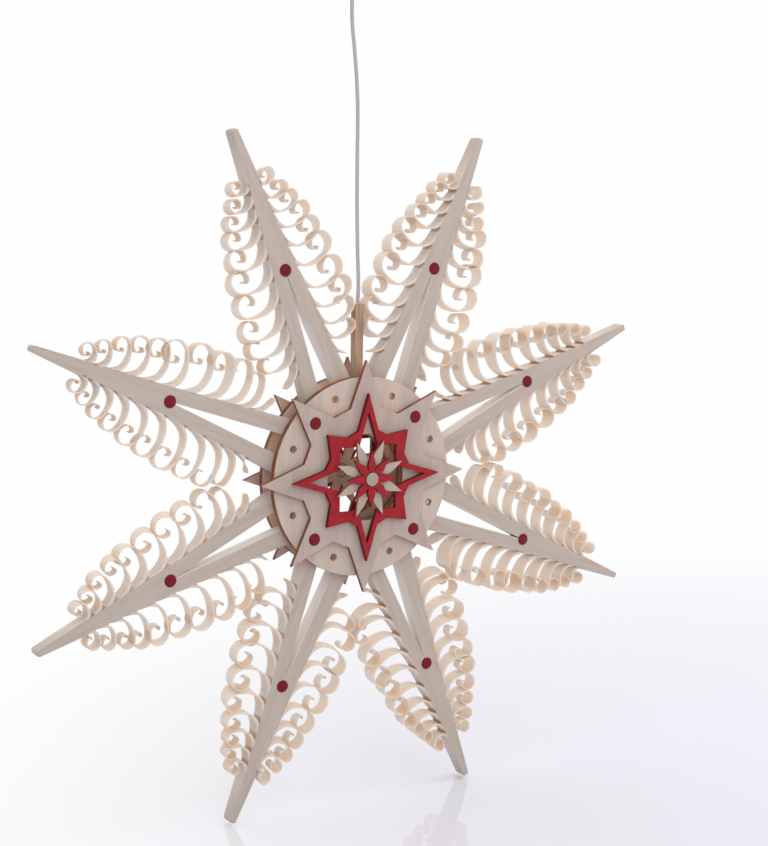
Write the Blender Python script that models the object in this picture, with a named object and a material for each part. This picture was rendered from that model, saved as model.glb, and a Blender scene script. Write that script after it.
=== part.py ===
"""A lit folk star: eight split wooden rays with shaved curls round a layered hub, hung by its lead.

The star stands in the XZ plane with its front towards -Y. The origin is the middle of the top face
of the ceiling plate. Star pieces are shaped round the hub's centre and hang from two pivots: one in
the hook, where the lead swings, and one at the post's top, where the star turns on its lead.
"""
import math

import bmesh
import bpy
from mathutils import Vector

# Air between pieces that touch
GAP = 0.0003

# Rays: split wedges of wood
RAY_COUNT = 8
RAY_TIP_RADIUS = 0.2155
RAY_TIP_HALF_WIDTH = 0.0018
RAY_THICKNESS = 0.0094
RAY_PEG_RADIUS = 0.1313
RAY_PEG_HALF_WIDTH = 0.0085
LEG_SPLAY_DEG = 5.8
SLIT_SPLAY_DEG = 4.7
SLIT_MOUTH = 0.0005
PEG_DIAMETER = 0.0072
PEG_PROUD = 0.0008

# Curls shaved up from both edges of a ray, counted from the tip
CURLS_PER_EDGE = 11
CURL_FIRST_FROM_TIP = 0.0345
CURL_LAST_FROM_RIM = 0.0168
CURL_PITCH_SWELL = 0.82
CURL_PITCH_LEAD = 0.3
CURL_PITCH_TAIL = 0.5
CURL_FIRST_HEIGHT = 0.0098
CURL_FULL_HEIGHT = 0.0268
CURL_GROWING = 6
CURL_GROWTH_POWER = 1.6
CURL_LEAN_DEG = 126.0
CURL_BEND_DEG = 60.0
CURL_STRAND_SEGMENTS = 2
LOOP_TURN_DEG = 290.0
LOOP_SHRINK = 0.42
LOOP_PER_PITCH = 0.50
LOOP_PER_HEIGHT = 0.47
LOOP_SEGMENTS = 4
CURL_ROOT_REACH = 0.0034
CURL_ROOT_THICKNESS = 0.0011
CURL_END_THICKNESS = 0.0007
CURL_ROOM = 0.0006

# Discs that hold the legs, and the star plates on them
DISC_RADIUS = 0.0592
DISC_THICKNESS = 0.004
OPENING_RADIUS = 0.0256
LEG_END_FROM_OPENING = 0.0124
DISC_HOLE_FROM_RIM = 0.0088
DISC_HOLE_DIAMETER = 0.0044
DOWEL_FROM_RIM = 0.0112
DOWEL_COUNT = 4
STAR_PLATE_THICKNESS = 0.0028
STAR_POINT_BEYOND_RIM = 0.0098
STAR_NOTCH_RADIUS = 0.0423
STAR_NOTCH_DEG = 14.4

# Red star frame, its window, and the flowers in front of it
FRAME_THICKNESS = 0.0028
FRAME_LONG_TIP = 0.0498
FRAME_SHORT_TIP = 0.0383
FRAME_LONG_NOTCH = (0.0290, 13.3)
FRAME_SHORT_NOTCH = (0.0281, 16.9)
WINDOW_LONG_TIP = 0.0392
WINDOW_HALF_SQUARE = 0.0190
WINDOW_POINT_HALF_WIDTH = 0.0062
FLOWER_THICKNESS = 0.0018
PETALS = 8
PETAL_SEAT = 0.0034
PETAL_WIDEST = (0.0156, 10.5)
PETAL_NOTCH = 0.0086
RED_PETAL_TIP = 0.0170
RED_PETAL_WIDEST = (0.0090, 17.0)
RED_PETAL_NOTCH = 0.0054
BUTTON_DIAMETER = 0.0082
BUTTON_PROUD = 0.0010

# Hanger post with its lead inside, spacer block and lamp
POST_RISE = 0.0418
POST_SIDE = 0.0053
POST_DEPTH_IN_HUB = 0.0152
BLOCK_WIDTH = 0.0080
BLOCK_HEIGHT = 0.0120
HOLDER_DIAMETER = 0.0068
HOLDER_LENGTH = 0.0065
LAMP_DIAMETER = 0.0048
LAMP_BARREL = 0.0022

# Supply lead, its clip, and the ceiling hook
LEAD_DIAMETER = 0.0024
LEAD_RISE = 0.2008
LEAD_STEP = 0.0070
LEAD_SWAY = ((0.0004, 0.0079), (-0.0004, 0.0310), (-0.0012, 0.0600), (-0.0014, 0.0886),
             (-0.0016, 0.1140), (-0.0024, 0.1280), (-0.0041, 0.1450), (-0.0060, 0.1616))
LOOP_RADIUS = 0.0050
LOOP_HEIGHT = 0.0160
TAIL_LENGTH = 0.0030
CLIP_LENGTH = 0.0080
CLIP_WALL = 0.0010
HOOK_WIRE = 0.0030
HOOK_ARC_RADIUS = 0.0070
HOOK_SHANK = 0.0082
HOOK_TIP_RISE = 0.0030
PLATE_RADIUS = 0.0130
PLATE_THICKNESS = 0.0030

# Places worked out from the sizes above
SECTOR_DEG = 360.0 / RAY_COUNT
HALF_SECTOR = math.radians(SECTOR_DEG / 2)
LEG_END_RADIUS = OPENING_RADIUS + LEG_END_FROM_OPENING
DOWEL_RADIUS = DISC_RADIUS - DOWEL_FROM_RIM
DISC_FACE = RAY_THICKNESS / 2 + GAP
STAR_FACE = DISC_FACE + DISC_THICKNESS + GAP
FRAME_FACE = STAR_FACE + STAR_PLATE_THICKNESS + GAP
FLOWER_FACE = FRAME_FACE + FRAME_THICKNESS + GAP
RED_FLOWER_FACE = FLOWER_FACE + FLOWER_THICKNESS + GAP
BUTTON_FACE = RED_FLOWER_FACE + FLOWER_THICKNESS + BUTTON_PROUD
POST_TOP = DISC_RADIUS + POST_RISE
POST_BOTTOM = DISC_RADIUS - POST_DEPTH_IN_HUB
LOOP_TOP = POST_TOP + LEAD_RISE
CLIP_TOP = LOOP_TOP - LOOP_HEIGHT
WIRE_HEIGHT = LOOP_TOP - LEAD_DIAMETER / 2 - GAP - HOOK_WIRE / 2
PLATE_UNDERSIDE = WIRE_HEIGHT + HOOK_ARC_RADIUS + HOOK_SHANK
HUB_DROP = PLATE_UNDERSIDE + PLATE_THICKNESS
STRAND_OFFSET = LEAD_DIAMETER / 2 + GAP / 2


def new_material(name, colour, roughness, metallic=0.0):
    material = bpy.data.materials.new(name)
    material.use_nodes = True
    shader = material.node_tree.nodes["Principled BSDF"]
    shader.inputs["Base Color"].default_value = (*colour, 1.0)
    shader.inputs["Roughness"].default_value = roughness
    shader.inputs["Metallic"].default_value = metallic
    return material


def place_of(pivot):
    """Where a pivot stands in the world, through the pivots that carry it."""
    place = Vector((0.0, 0.0, 0.0))
    while pivot:
        place += pivot.location
        pivot = pivot.parent
    return place


def new_pivot(name, x, height, parent):
    """An empty in the star plane, at a height over the hub's centre."""
    pivot = bpy.data.objects.new(name, None)
    pivot.location = Vector((x, 0.0, height - HUB_DROP)) - place_of(parent)
    pivot.parent = parent
    bpy.context.scene.collection.objects.link(pivot)
    return pivot


def add_piece(name, data, material, pivot, turn_deg=0.0):
    """Put a piece, shaped round the hub's centre, into the scene on its pivot."""
    piece = bpy.data.objects.new(name, data)
    data.materials.append(material)
    piece.location = Vector((0.0, 0.0, -HUB_DROP)) - place_of(pivot)
    piece.parent = pivot
    piece.rotation_euler = (0.0, -math.radians(turn_deg), 0.0)
    bpy.context.scene.collection.objects.link(piece)
    return piece


def mesh_from(bm, name):
    """Close a bmesh into a mesh with outward faces, round stretches smooth and real edges sharp."""
    bmesh.ops.recalc_face_normals(bm, faces=bm.faces[:])
    mesh = bpy.data.meshes.new(name)
    bm.to_mesh(mesh)
    bm.free()
    mesh.shade_smooth()
    mesh.set_sharp_from_angle(angle=math.radians(70.0))
    return mesh


def polar(radius, degrees):
    angle = math.radians(degrees)
    return (radius * math.cos(angle), radius * math.sin(angle))


def circle(radius, sides, centre=(0.0, 0.0)):
    points = [polar(radius, 360.0 * i / sides) for i in range(sides)]
    return [(centre[0] + a, centre[1] + b) for a, b in points]


def prism(name, outline, holes, start, end, upright=False):
    """A flat piece with holes, from start to end along Y, or along Z if it is upright."""
    bm = bmesh.new()
    edges = []
    for loop in [outline] + holes:
        verts = [bm.verts.new((a, b, start) if upright else (a, start, b)) for a, b in loop]
        edges += [bm.edges.new((verts[i - 1], verts[i])) for i in range(len(verts))]
    bmesh.ops.triangle_fill(bm, edges=edges, use_beauty=True)
    thicken(bm, (0.0, 0.0, end - start) if upright else (0.0, end - start, 0.0))
    return mesh_from(bm, name)


def thicken(bm, shift):
    grown = bmesh.ops.extrude_face_region(bm, geom=bm.faces[:])
    verts = [item for item in grown["geom"] if isinstance(item, bmesh.types.BMVert)]
    bmesh.ops.translate(bm, vec=shift, verts=verts)


def lathe(name, profile, sides):
    """A turned piece on the Z axis: rings of (radius, height), closed by a flat face at both ends."""
    bm = bmesh.new()
    rings = []
    for radius, height in profile:
        rings.append([bm.verts.new((a, b, height)) for a, b in circle(radius, sides)])
    for low, high in zip(rings, rings[1:]):
        for i in range(sides):
            bm.faces.new((low[i - 1], low[i], high[i], high[i - 1]))
    bm.faces.new(rings[0])
    bm.faces.new(rings[-1])
    return mesh_from(bm, name)


def tube(name, points, diameter, resolution):
    """A round bar or lead along points, capped at both ends."""
    curve = bpy.data.curves.new(name, "CURVE")
    curve.dimensions = "3D"
    curve.bevel_depth = diameter / 2
    curve.bevel_resolution = resolution
    curve.use_fill_caps = True
    spline = curve.splines.new("POLY")
    spline.points.add(len(points) - 1)
    for target, point in zip(spline.points, points):
        target.co = (*point, 1.0)
    spline.use_smooth = True
    return curve


def smooth_route(stops, step):
    """Points along a smooth curve through the stops, about one step apart."""
    stops = [Vector(stop) for stop in stops]
    ends = [2 * stops[0] - stops[1]] + stops + [2 * stops[-1] - stops[-2]]
    points = []
    for before, a, b, after in zip(ends, ends[1:], ends[2:], ends[3:]):
        pieces = max(1, math.ceil((b - a).length / step))
        for i in range(pieces):
            t = i / pieces
            slope_a = (b - before) / 2
            slope_b = (after - a) / 2
            points.append(a * (2 * t ** 3 - 3 * t ** 2 + 1) + slope_a * (t ** 3 - 2 * t ** 2 + t)
                          + b * (3 * t ** 2 - 2 * t ** 3) + slope_b * (t ** 3 - t ** 2))
    return points + [stops[-1]]


def edge_half_width(along):
    """Half width of a ray: a straight taper from peg to tip, and the splayed legs inside the peg."""
    if along > RAY_PEG_RADIUS:
        share = (along - RAY_PEG_RADIUS) / (RAY_TIP_RADIUS - RAY_PEG_RADIUS)
        return RAY_PEG_HALF_WIDTH + (RAY_TIP_HALF_WIDTH - RAY_PEG_HALF_WIDTH) * share
    return RAY_PEG_HALF_WIDTH + (RAY_PEG_RADIUS - along) * math.tan(math.radians(LEG_SPLAY_DEG))


def curl_line(height, radius):
    """Middle line of a curl as (point, direction) pairs, root first: x runs to the tip, y outwards.

    The strand leaves the edge leaning to the hub and bends evenly by CURL_BEND_DEG until it leans to the
    tip. There it rolls into a loop, whose radius shrinks with the turn. The strand makes up the height.
    """
    fine = 12
    loop_steps = LOOP_SEGMENTS * fine
    point = Vector((0.0, 0.0))
    loop = []
    for i in range(loop_steps):
        share = (i + 0.5) / loop_steps
        heading = math.radians(CURL_LEAN_DEG - CURL_BEND_DEG - LOOP_TURN_DEG * share)
        step = math.radians(LOOP_TURN_DEG) / loop_steps * radius * (1.0 - LOOP_SHRINK * share)
        point = point + Vector((math.cos(heading), math.sin(heading))) * step
        loop.append(point)
    strand_steps = CURL_STRAND_SEGMENTS * fine
    point = Vector((0.0, 0.0))
    strand = [point]
    for i in range(strand_steps):
        heading = math.radians(CURL_LEAN_DEG - CURL_BEND_DEG * (i + 0.5) / strand_steps)
        point = point + Vector((math.cos(heading), math.sin(heading)))
        strand.append(point)
    scale = (height - max(place.y for place in loop)) / point.y
    line = []
    for i in range(CURL_STRAND_SEGMENTS + 1):
        heading = math.radians(CURL_LEAN_DEG - CURL_BEND_DEG * i / CURL_STRAND_SEGMENTS)
        line.append((strand[i * fine] * scale, Vector((math.cos(heading), math.sin(heading)))))
    start = line[-1][0]
    for i in range(1, LOOP_SEGMENTS + 1):
        heading = math.radians(CURL_LEAN_DEG - CURL_BEND_DEG - LOOP_TURN_DEG * i / LOOP_SEGMENTS)
        line.append((start + loop[i * fine - 1], Vector((math.cos(heading), math.sin(heading)))))
    return line


def curl_places():
    """Place of every curl along a ray and the distance to its nearer neighbour, tip first.

    The spacing swells from both ends of the row to its middle with the square of a sine.
    """
    first = RAY_TIP_RADIUS - CURL_FIRST_FROM_TIP
    last = DISC_RADIUS + CURL_LAST_FROM_RIM
    gaps = CURLS_PER_EDGE - 1
    span = gaps + CURL_PITCH_LEAD + CURL_PITCH_TAIL
    turns = [math.pi * (i + CURL_PITCH_LEAD) / span for i in range(gaps)]
    weights = [1.0 + CURL_PITCH_SWELL * math.sin(turn) ** 2 for turn in turns]
    unit = (first - last) / sum(weights)
    places = []
    along = first
    for before, after in zip([weights[0]] + weights, weights + [1.0]):
        places.append((along, unit * min(before, after)))
        along -= unit * after
    return places


def curl_strips(room):
    """Both sides of every curl along one edge of a ray, tip first, as lists of (along, across).

    Room is what a curl keeps from the plane between two rays. The tip side of a root runs out along
    the edge, so that the strand grows out of the wedge.
    """
    strips = []
    for i, (along, pitch) in enumerate(curl_places()):
        edge = edge_half_width(along)
        left = max(0.0, 1.0 - i / CURL_GROWING) ** CURL_GROWTH_POWER
        grown = CURL_FULL_HEIGHT - (CURL_FULL_HEIGHT - CURL_FIRST_HEIGHT) * left
        free = along * math.tan(HALF_SECTOR) - room / math.cos(HALF_SECTOR) - edge
        height = min(grown, free)
        line = curl_line(height, min(pitch * LOOP_PER_PITCH, height * LOOP_PER_HEIGHT))
        tip_side = []
        hub_side = []
        for j, (point, course) in enumerate(line):
            share = j / (len(line) - 1)
            thick = CURL_ROOT_THICKNESS + (CURL_END_THICKNESS - CURL_ROOT_THICKNESS) * share
            half = Vector((course.y, -course.x)) * thick / 2
            if j == 0:
                root = Vector((along, edge)) - half
            tip_side.append(root + point + half)
            hub_side.append(root + point - half)
        tip_side[0] = Vector((along + CURL_ROOT_REACH, edge_half_width(along + CURL_ROOT_REACH)))
        strips.append((tip_side, hub_side))
    return strips


def ray_mesh(name, room_left, room_right):
    """One ray with its curls, lying along +X: the outline of wedge and curls, made thick along Y.

    The split runs into the peg hole, so wedge and hole are one closed outline.
    """
    bm = bmesh.new()

    def corner(along, across):
        return bm.verts.new((along, -RAY_THICKNESS / 2, across))

    hole = PEG_DIAMETER / 2 + GAP
    mouth_deg = math.degrees(math.asin(SLIT_MOUTH / 2 / hole))
    trim = max(PEG_DIAMETER, BLOCK_WIDTH) / 2 + GAP
    slope = math.tan(HALF_SECTOR)
    splay = math.tan(math.radians(LEG_SPLAY_DEG))
    trim_start = ((edge_half_width(0.0) + trim / math.cos(HALF_SECTOR)) / (slope + splay))
    trim_end = LEG_END_RADIUS * slope - trim / math.cos(HALF_SECTOR)
    slit_end = (RAY_PEG_RADIUS - hole - LEG_END_RADIUS) * math.tan(math.radians(SLIT_SPLAY_DEG))
    halves = []
    for side, room in ((1, room_left), (-1, room_right)):
        half = [corner(RAY_TIP_RADIUS, side * RAY_TIP_HALF_WIDTH)]
        for tip_side, hub_side in curl_strips(room):
            near = [corner(point.x, side * point.y) for point in tip_side]
            far = [corner(point.x, side * point.y) for point in hub_side]
            for j in range(1, len(near)):
                bm.faces.new((near[j - 1], near[j], far[j], far[j - 1]))
            half += [near[0], far[0]]
        half.append(corner(trim_start, side * edge_half_width(trim_start)))
        half.append(corner(LEG_END_RADIUS, side * trim_end))
        half.append(corner(LEG_END_RADIUS, side * (slit_end + SLIT_MOUTH / 2)))
        halves.append(half)
    around = []
    steps = 10
    for i in range(steps + 1):
        turn = 180.0 - mouth_deg - (360.0 - 2 * mouth_deg) * i / steps
        along, across = polar(hole, turn)
        around.append(corner(RAY_PEG_RADIUS + along, across))
    bm.faces.new(halves[0] + around + halves[1][::-1])
    thicken(bm, (0.0, RAY_THICKNESS, 0.0))
    return mesh_from(bm, name)


def star_outline(points, tip, notch, notch_deg):
    """Outline of a plain star: points on the axes, each between two notch corners."""
    outline = []
    for i in range(points):
        middle = 360.0 * i / points
        outline += [polar(notch, middle - notch_deg), polar(tip, middle), polar(notch, middle + notch_deg)]
    return outline


def flower_outline(tip, widest, notch, start_deg):
    """Outline of a flower of leaf-shaped petals that grow together at the notches."""
    outline = []
    for i in range(PETALS):
        middle = start_deg + 360.0 * i / PETALS
        outline += [polar(widest[0], middle - widest[1]), polar(tip, middle)]
        outline += [polar(widest[0], middle + widest[1]), polar(notch, middle + 180.0 / PETALS)]
    return outline


def frame_loops():
    """Outer outline and window of the red frame: long points on the axes, short ones between."""
    outer = []
    window = []
    for quarter in range(4):
        axis = 90.0 * quarter
        outer += [polar(FRAME_LONG_TIP, axis)]
        outer += [polar(FRAME_LONG_NOTCH[0], axis + FRAME_LONG_NOTCH[1])]
        outer += [polar(FRAME_SHORT_NOTCH[0], axis + 45.0 - FRAME_SHORT_NOTCH[1])]
        outer += [polar(FRAME_SHORT_TIP, axis + 45.0)]
        outer += [polar(FRAME_SHORT_NOTCH[0], axis + 45.0 + FRAME_SHORT_NOTCH[1])]
        outer += [polar(FRAME_LONG_NOTCH[0], axis + 90.0 - FRAME_LONG_NOTCH[1])]
        reach = math.hypot(WINDOW_HALF_SQUARE, WINDOW_POINT_HALF_WIDTH)
        beside = math.degrees(math.atan2(WINDOW_POINT_HALF_WIDTH, WINDOW_HALF_SQUARE))
        window += [polar(WINDOW_LONG_TIP, axis), polar(reach, axis + beside)]
        window += [polar(WINDOW_HALF_SQUARE * math.sqrt(2.0), axis + 45.0), polar(reach, axis + 90.0 - beside)]
    return outer, window


def add_rays(pivot, wood, red):
    top_gap = RAY_COUNT // 4
    post_room = POST_SIDE / 2 + CURL_ROOM
    for i in range(RAY_COUNT):
        turn = SECTOR_DEG * (i + 0.5)
        left = post_room if i == top_gap - 1 else CURL_ROOM
        right = post_room if i == top_gap else CURL_ROOM
        name = f"ray_{i + 1}"
        add_piece(name, ray_mesh(name, left, right), wood, pivot, turn)
        name = f"ray_peg_{i + 1}"
        reach = RAY_THICKNESS / 2 + PEG_PROUD
        end = circle(PEG_DIAMETER / 2, 10, (RAY_PEG_RADIUS, 0.0))
        add_piece(name, prism(name, end, [], -reach, reach), red, pivot, turn)


def add_hub(pivot, plywood, red):
    """The layers on both faces of the star, and the dowels that pin them."""
    hole = PEG_DIAMETER / 2 + GAP
    dowels = [polar(DOWEL_RADIUS, 360.0 * (i + 0.5) / DOWEL_COUNT) for i in range(DOWEL_COUNT)]
    through = [circle(OPENING_RADIUS, 20)] + [circle(hole, 10, place) for place in dowels]
    vents = []
    for i in range(RAY_COUNT):
        place = polar(DISC_RADIUS - DISC_HOLE_FROM_RIM, SECTOR_DEG * (i + 0.5))
        vents.append(circle(DISC_HOLE_DIAMETER / 2, 8, place))
    petal_tip = WINDOW_HALF_SQUARE / math.cos(math.pi / PETALS) + PETAL_SEAT
    bore = [circle(BUTTON_DIAMETER / 2 + GAP, 12)]
    frame, window = frame_loops()
    star = star_outline(RAY_COUNT, DISC_RADIUS + STAR_POINT_BEYOND_RIM, STAR_NOTCH_RADIUS, STAR_NOTCH_DEG)
    flower = flower_outline(petal_tip, PETAL_WIDEST, PETAL_NOTCH, 180.0 / PETALS)
    red_flower = flower_outline(RED_PETAL_TIP, RED_PETAL_WIDEST, RED_PETAL_NOTCH, 0.0)
    layers = (
        ("disc", circle(DISC_RADIUS, 40), through + vents, DISC_FACE, DISC_THICKNESS, plywood),
        ("star_plate", star, through, STAR_FACE, STAR_PLATE_THICKNESS, plywood),
        ("red_frame", frame, [window], FRAME_FACE, FRAME_THICKNESS, red),
        ("flower", flower, bore, FLOWER_FACE, FLOWER_THICKNESS, plywood),
        ("red_flower", red_flower, bore, RED_FLOWER_FACE, FLOWER_THICKNESS, red),
        ("button", circle(BUTTON_DIAMETER / 2, 12), [], FLOWER_FACE, BUTTON_FACE - FLOWER_FACE, plywood),
    )
    for face, side in (("front", -1), ("back", 1)):
        for layer, outline, holes, start, thickness, material in layers:
            name = f"{face}_{layer}"
            mesh = prism(name, outline, holes, side * start, side * (start + thickness))
            add_piece(name, mesh, material, pivot)
    reach = STAR_FACE + STAR_PLATE_THICKNESS + PEG_PROUD
    for i, place in enumerate(dowels):
        name = f"hub_dowel_{i + 1}"
        add_piece(name, prism(name, circle(PEG_DIAMETER / 2, 10, place), [], -reach, reach), red, pivot)


def add_post_and_lamp(pivot, brown, plywood, plastic, lamp_clear):
    half = POST_SIDE / 2
    groove = LEAD_DIAMETER / 2 + GAP
    floor = -groove
    section = [(-half, -half), (half, -half), (half, half), (groove, half), (groove, floor),
               (-groove, floor), (-groove, half), (-half, half)]
    add_piece("post", prism("post", section, [], POST_BOTTOM, POST_TOP, True), brown, pivot)
    deep = RAY_THICKNESS / 2
    wide = BLOCK_WIDTH / 2
    socket = half + GAP
    block = [(-wide, -deep), (wide, -deep), (wide, deep), (-wide, deep)]
    slot = [(-socket, -socket), (socket, -socket), (socket, socket), (-socket, socket)]
    block_top = POST_BOTTOM + BLOCK_HEIGHT
    add_piece("post_block", prism("post_block", block, [slot], POST_BOTTOM, block_top, True), plywood, pivot)
    holder_top = POST_BOTTOM - GAP
    inside = circle(LEAD_DIAMETER / 2, 10)
    lead = prism("inner_lead", inside, [], holder_top + GAP, POST_TOP, True)
    add_piece("inner_lead", lead, plastic, pivot)
    holder_end = holder_top - HOLDER_LENGTH
    ring = HOLDER_DIAMETER / 2
    holder = lathe("lamp_holder", ((ring, holder_end), (ring, holder_top)), 16)
    add_piece("lamp_holder", holder, plastic, pivot)
    radius = LAMP_DIAMETER / 2
    lamp_top = holder_end - GAP
    profile = [(radius, lamp_top)]
    for turn in (0.0, 25.0, 50.0, 75.0):
        across, along = polar(radius, turn)
        profile.append((across, lamp_top - LAMP_BARREL - along))
    add_piece("lamp", lathe("lamp", profile, 14), lamp_clear, pivot)


def lead_stops():
    """Route of the lead: up from the post with its sway, through the clip, round the hook and back."""
    x = -HOOK_ARC_RADIUS
    near = STRAND_OFFSET
    stops = [(0.0, 0.0, POST_TOP + GAP)]
    stops += [(sway, 0.0, POST_TOP + rise) for sway, rise in LEAD_SWAY]
    clip_foot = CLIP_TOP - CLIP_LENGTH
    stops += [(x, -near, clip_foot), (x, -near, CLIP_TOP)]
    middle = LOOP_TOP - LOOP_RADIUS
    waist = (near + LOOP_RADIUS) / 2
    stops.append((x, -waist, (CLIP_TOP + middle) / 2))
    for turn in range(180, -1, -30):
        across, up = polar(LOOP_RADIUS, turn)
        stops.append((x, across, middle + up))
    stops.append((x, waist, (CLIP_TOP + middle) / 2))
    stops += [(x, near, CLIP_TOP), (x, near, clip_foot), (x, near, clip_foot - TAIL_LENGTH)]
    return stops


def add_lead(pivot, plastic):
    points = smooth_route(lead_stops(), LEAD_STEP)
    add_piece("cord", tube("cord", points, LEAD_DIAMETER, 2), plastic, pivot)
    loops = []
    for radius in (LEAD_DIAMETER / 2 + GAP, LEAD_DIAMETER / 2 + GAP + CLIP_WALL):
        loop = []
        for side, start in ((1, 0.0), (-1, 180.0)):
            for turn in range(0, 181, 30):
                across, along = polar(radius, start + turn)
                loop.append((across - HOOK_ARC_RADIUS, along + side * STRAND_OFFSET))
        loops.append(loop)
    clip = prism("cord_clip", loops[1], [loops[0]], CLIP_TOP - CLIP_LENGTH, CLIP_TOP, True)
    add_piece("cord_clip", clip, plastic, pivot)


def add_hook(metal):
    rise = WIRE_HEIGHT + HOOK_ARC_RADIUS
    points = [(0.0, 0.0, PLATE_UNDERSIDE - GAP)]
    for turn in range(0, -181, -30):
        along, up = polar(HOOK_ARC_RADIUS, turn)
        points.append((along - HOOK_ARC_RADIUS, 0.0, rise + up))
    points.append((-2 * HOOK_ARC_RADIUS, 0.0, rise + HOOK_TIP_RISE))
    add_piece("ceiling_hook", tube("ceiling_hook", points, HOOK_WIRE, 3), metal, None)
    plate = lathe("ceiling_plate", ((PLATE_RADIUS, PLATE_UNDERSIDE), (PLATE_RADIUS, HUB_DROP)), 32)
    add_piece("ceiling_plate", plate, metal, None)


def build():
    for old in list(bpy.data.objects):
        bpy.data.objects.remove(old, do_unlink=True)
    shaved_wood = new_material("shaved_wood", (0.66, 0.52, 0.37), 0.6)
    plywood = new_material("plywood", (0.56, 0.44, 0.33), 0.6)
    brown_wood = new_material("brown_wood", (0.30, 0.18, 0.11), 0.6)
    red_paint = new_material("red_paint", (0.36, 0.02, 0.035), 0.45)
    white_plastic = new_material("white_plastic", (0.75, 0.74, 0.76), 0.4)
    clear_lamp = new_material("clear_lamp", (0.90, 0.84, 0.62), 0.15)
    white_metal = new_material("white_metal", (0.78, 0.78, 0.78), 0.35, 0.0)
    swing = new_pivot("swing_pivot", -HOOK_ARC_RADIUS, WIRE_HEIGHT, None)
    turn = new_pivot("turn_pivot", 0.0, POST_TOP, swing)
    add_rays(turn, shaved_wood, red_paint)
    add_hub(turn, plywood, red_paint)
    add_post_and_lamp(turn, brown_wood, plywood, white_plastic, clear_lamp)
    add_lead(swing, white_plastic)
    add_hook(white_metal)


build()
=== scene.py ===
"""Looks of a lit folk star: shaved rays, burnt-edged plates, red paint, its lead and its hook."""

import math

import bmesh
import bpy
import numpy as np
from bpy.props import FloatProperty, FloatVectorProperty, IntProperty, PointerProperty
from mathutils import Matrix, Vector
from mathutils.geometry import tessellate_polygon


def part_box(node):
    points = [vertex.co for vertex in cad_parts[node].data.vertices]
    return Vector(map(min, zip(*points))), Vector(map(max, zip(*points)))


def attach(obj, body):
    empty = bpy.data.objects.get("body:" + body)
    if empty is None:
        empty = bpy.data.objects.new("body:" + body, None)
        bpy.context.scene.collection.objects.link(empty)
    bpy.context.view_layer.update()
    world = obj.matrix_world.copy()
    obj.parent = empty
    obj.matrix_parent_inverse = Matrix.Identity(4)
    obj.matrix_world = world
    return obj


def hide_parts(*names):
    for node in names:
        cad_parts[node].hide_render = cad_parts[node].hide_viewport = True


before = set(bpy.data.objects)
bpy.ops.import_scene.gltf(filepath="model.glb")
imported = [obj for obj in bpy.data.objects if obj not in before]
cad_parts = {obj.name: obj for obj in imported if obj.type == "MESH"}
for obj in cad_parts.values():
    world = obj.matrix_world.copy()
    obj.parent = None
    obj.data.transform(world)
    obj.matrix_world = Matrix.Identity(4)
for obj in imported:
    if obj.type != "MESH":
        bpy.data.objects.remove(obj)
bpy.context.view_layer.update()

bl_info = {
    "name": "Folk star looks",
    "version": (1, 0, 0),
    "blender": (4, 5, 0),
    "location": "View3D > Sidebar > Star",
    "description": "Builds the shaved rays, plates, pegs, lead and stage of a hanging wooden star",
    "category": "Add Mesh",
}

BODY_STAR, BODY_LEAD, BODY_CEILING = "star", "lead", "ceiling"
HUB_Z = sum(corner.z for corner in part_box("front_disc")) / 2
FACES = (("front", -1.0), ("back", 1.0))
RAYS = 8
SECTOR_DEG = 45.0
SECTOR = math.radians(SECTOR_DEG)
RAY_DEG = SECTOR_DEG * (np.arange(RAYS) + 0.5)
DOWEL_DEG = 45.0 + 90.0 * np.arange(4)

# The strand value of a ray's mesh: 0 on plain wood, below 0 in a notch, where it paints shade, a
# little over 0 on walls that were pared or split, where it paints light, and from the root of a
# curl up to 1 at its free end
# Marks that paint light on pared and split walls, and where a curl's own colours begin
PARED_WALL_LIGHT, SPLIT_WALL_LIGHT, CURL_ROOT = 0.02, 0.024, 0.04

# Pattern scales in cycles to the metre, for each axis or for all three
FINE_FIBRE, BROAD_FIBRE = (55.0, 1500.0, 1.0), (9.0, 210.0, 1.0)
FINE_GRAIN, BROAD_GRAIN = (900.0, 900.0, 60.0), (120.0, 120.0, 14.0)
PLY_LAYERS = (160.0, 1400.0, 160.0)
BRUSH_MARKS, PAINT_CLOUDS = (1300.0, 1300.0, 130.0), 220.0
POST_GRAIN = (1100.0, 1100.0, 45.0)
WARM_PATCHES, ORANGE_PEEL, SKIN_CLOUDS, LENS_CLOUDS, FLOOR_DAPPLE = 70.0, 2600.0, 140.0, 700.0, 3.0
GRAIN_DEPTH, BRUSH_DEPTH, PEEL_DEPTH = 0.0002, 0.00015, 0.0001


# Sizes and colours a user may change

def property_of(kind, **fixed):
    """A short way to write such a property: its name, its description and its default."""
    def made(name, description, default, **more):
        return kind(name=name, description=description, default=default, **fixed, **more)
    return made


Number = property_of(FloatProperty)
Size = property_of(FloatProperty, unit="LENGTH", precision=4)
Angle = property_of(FloatProperty, subtype="ANGLE")
Colour = property_of(FloatVectorProperty, subtype="COLOR", size=3, min=0.0, max=1.0)


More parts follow.
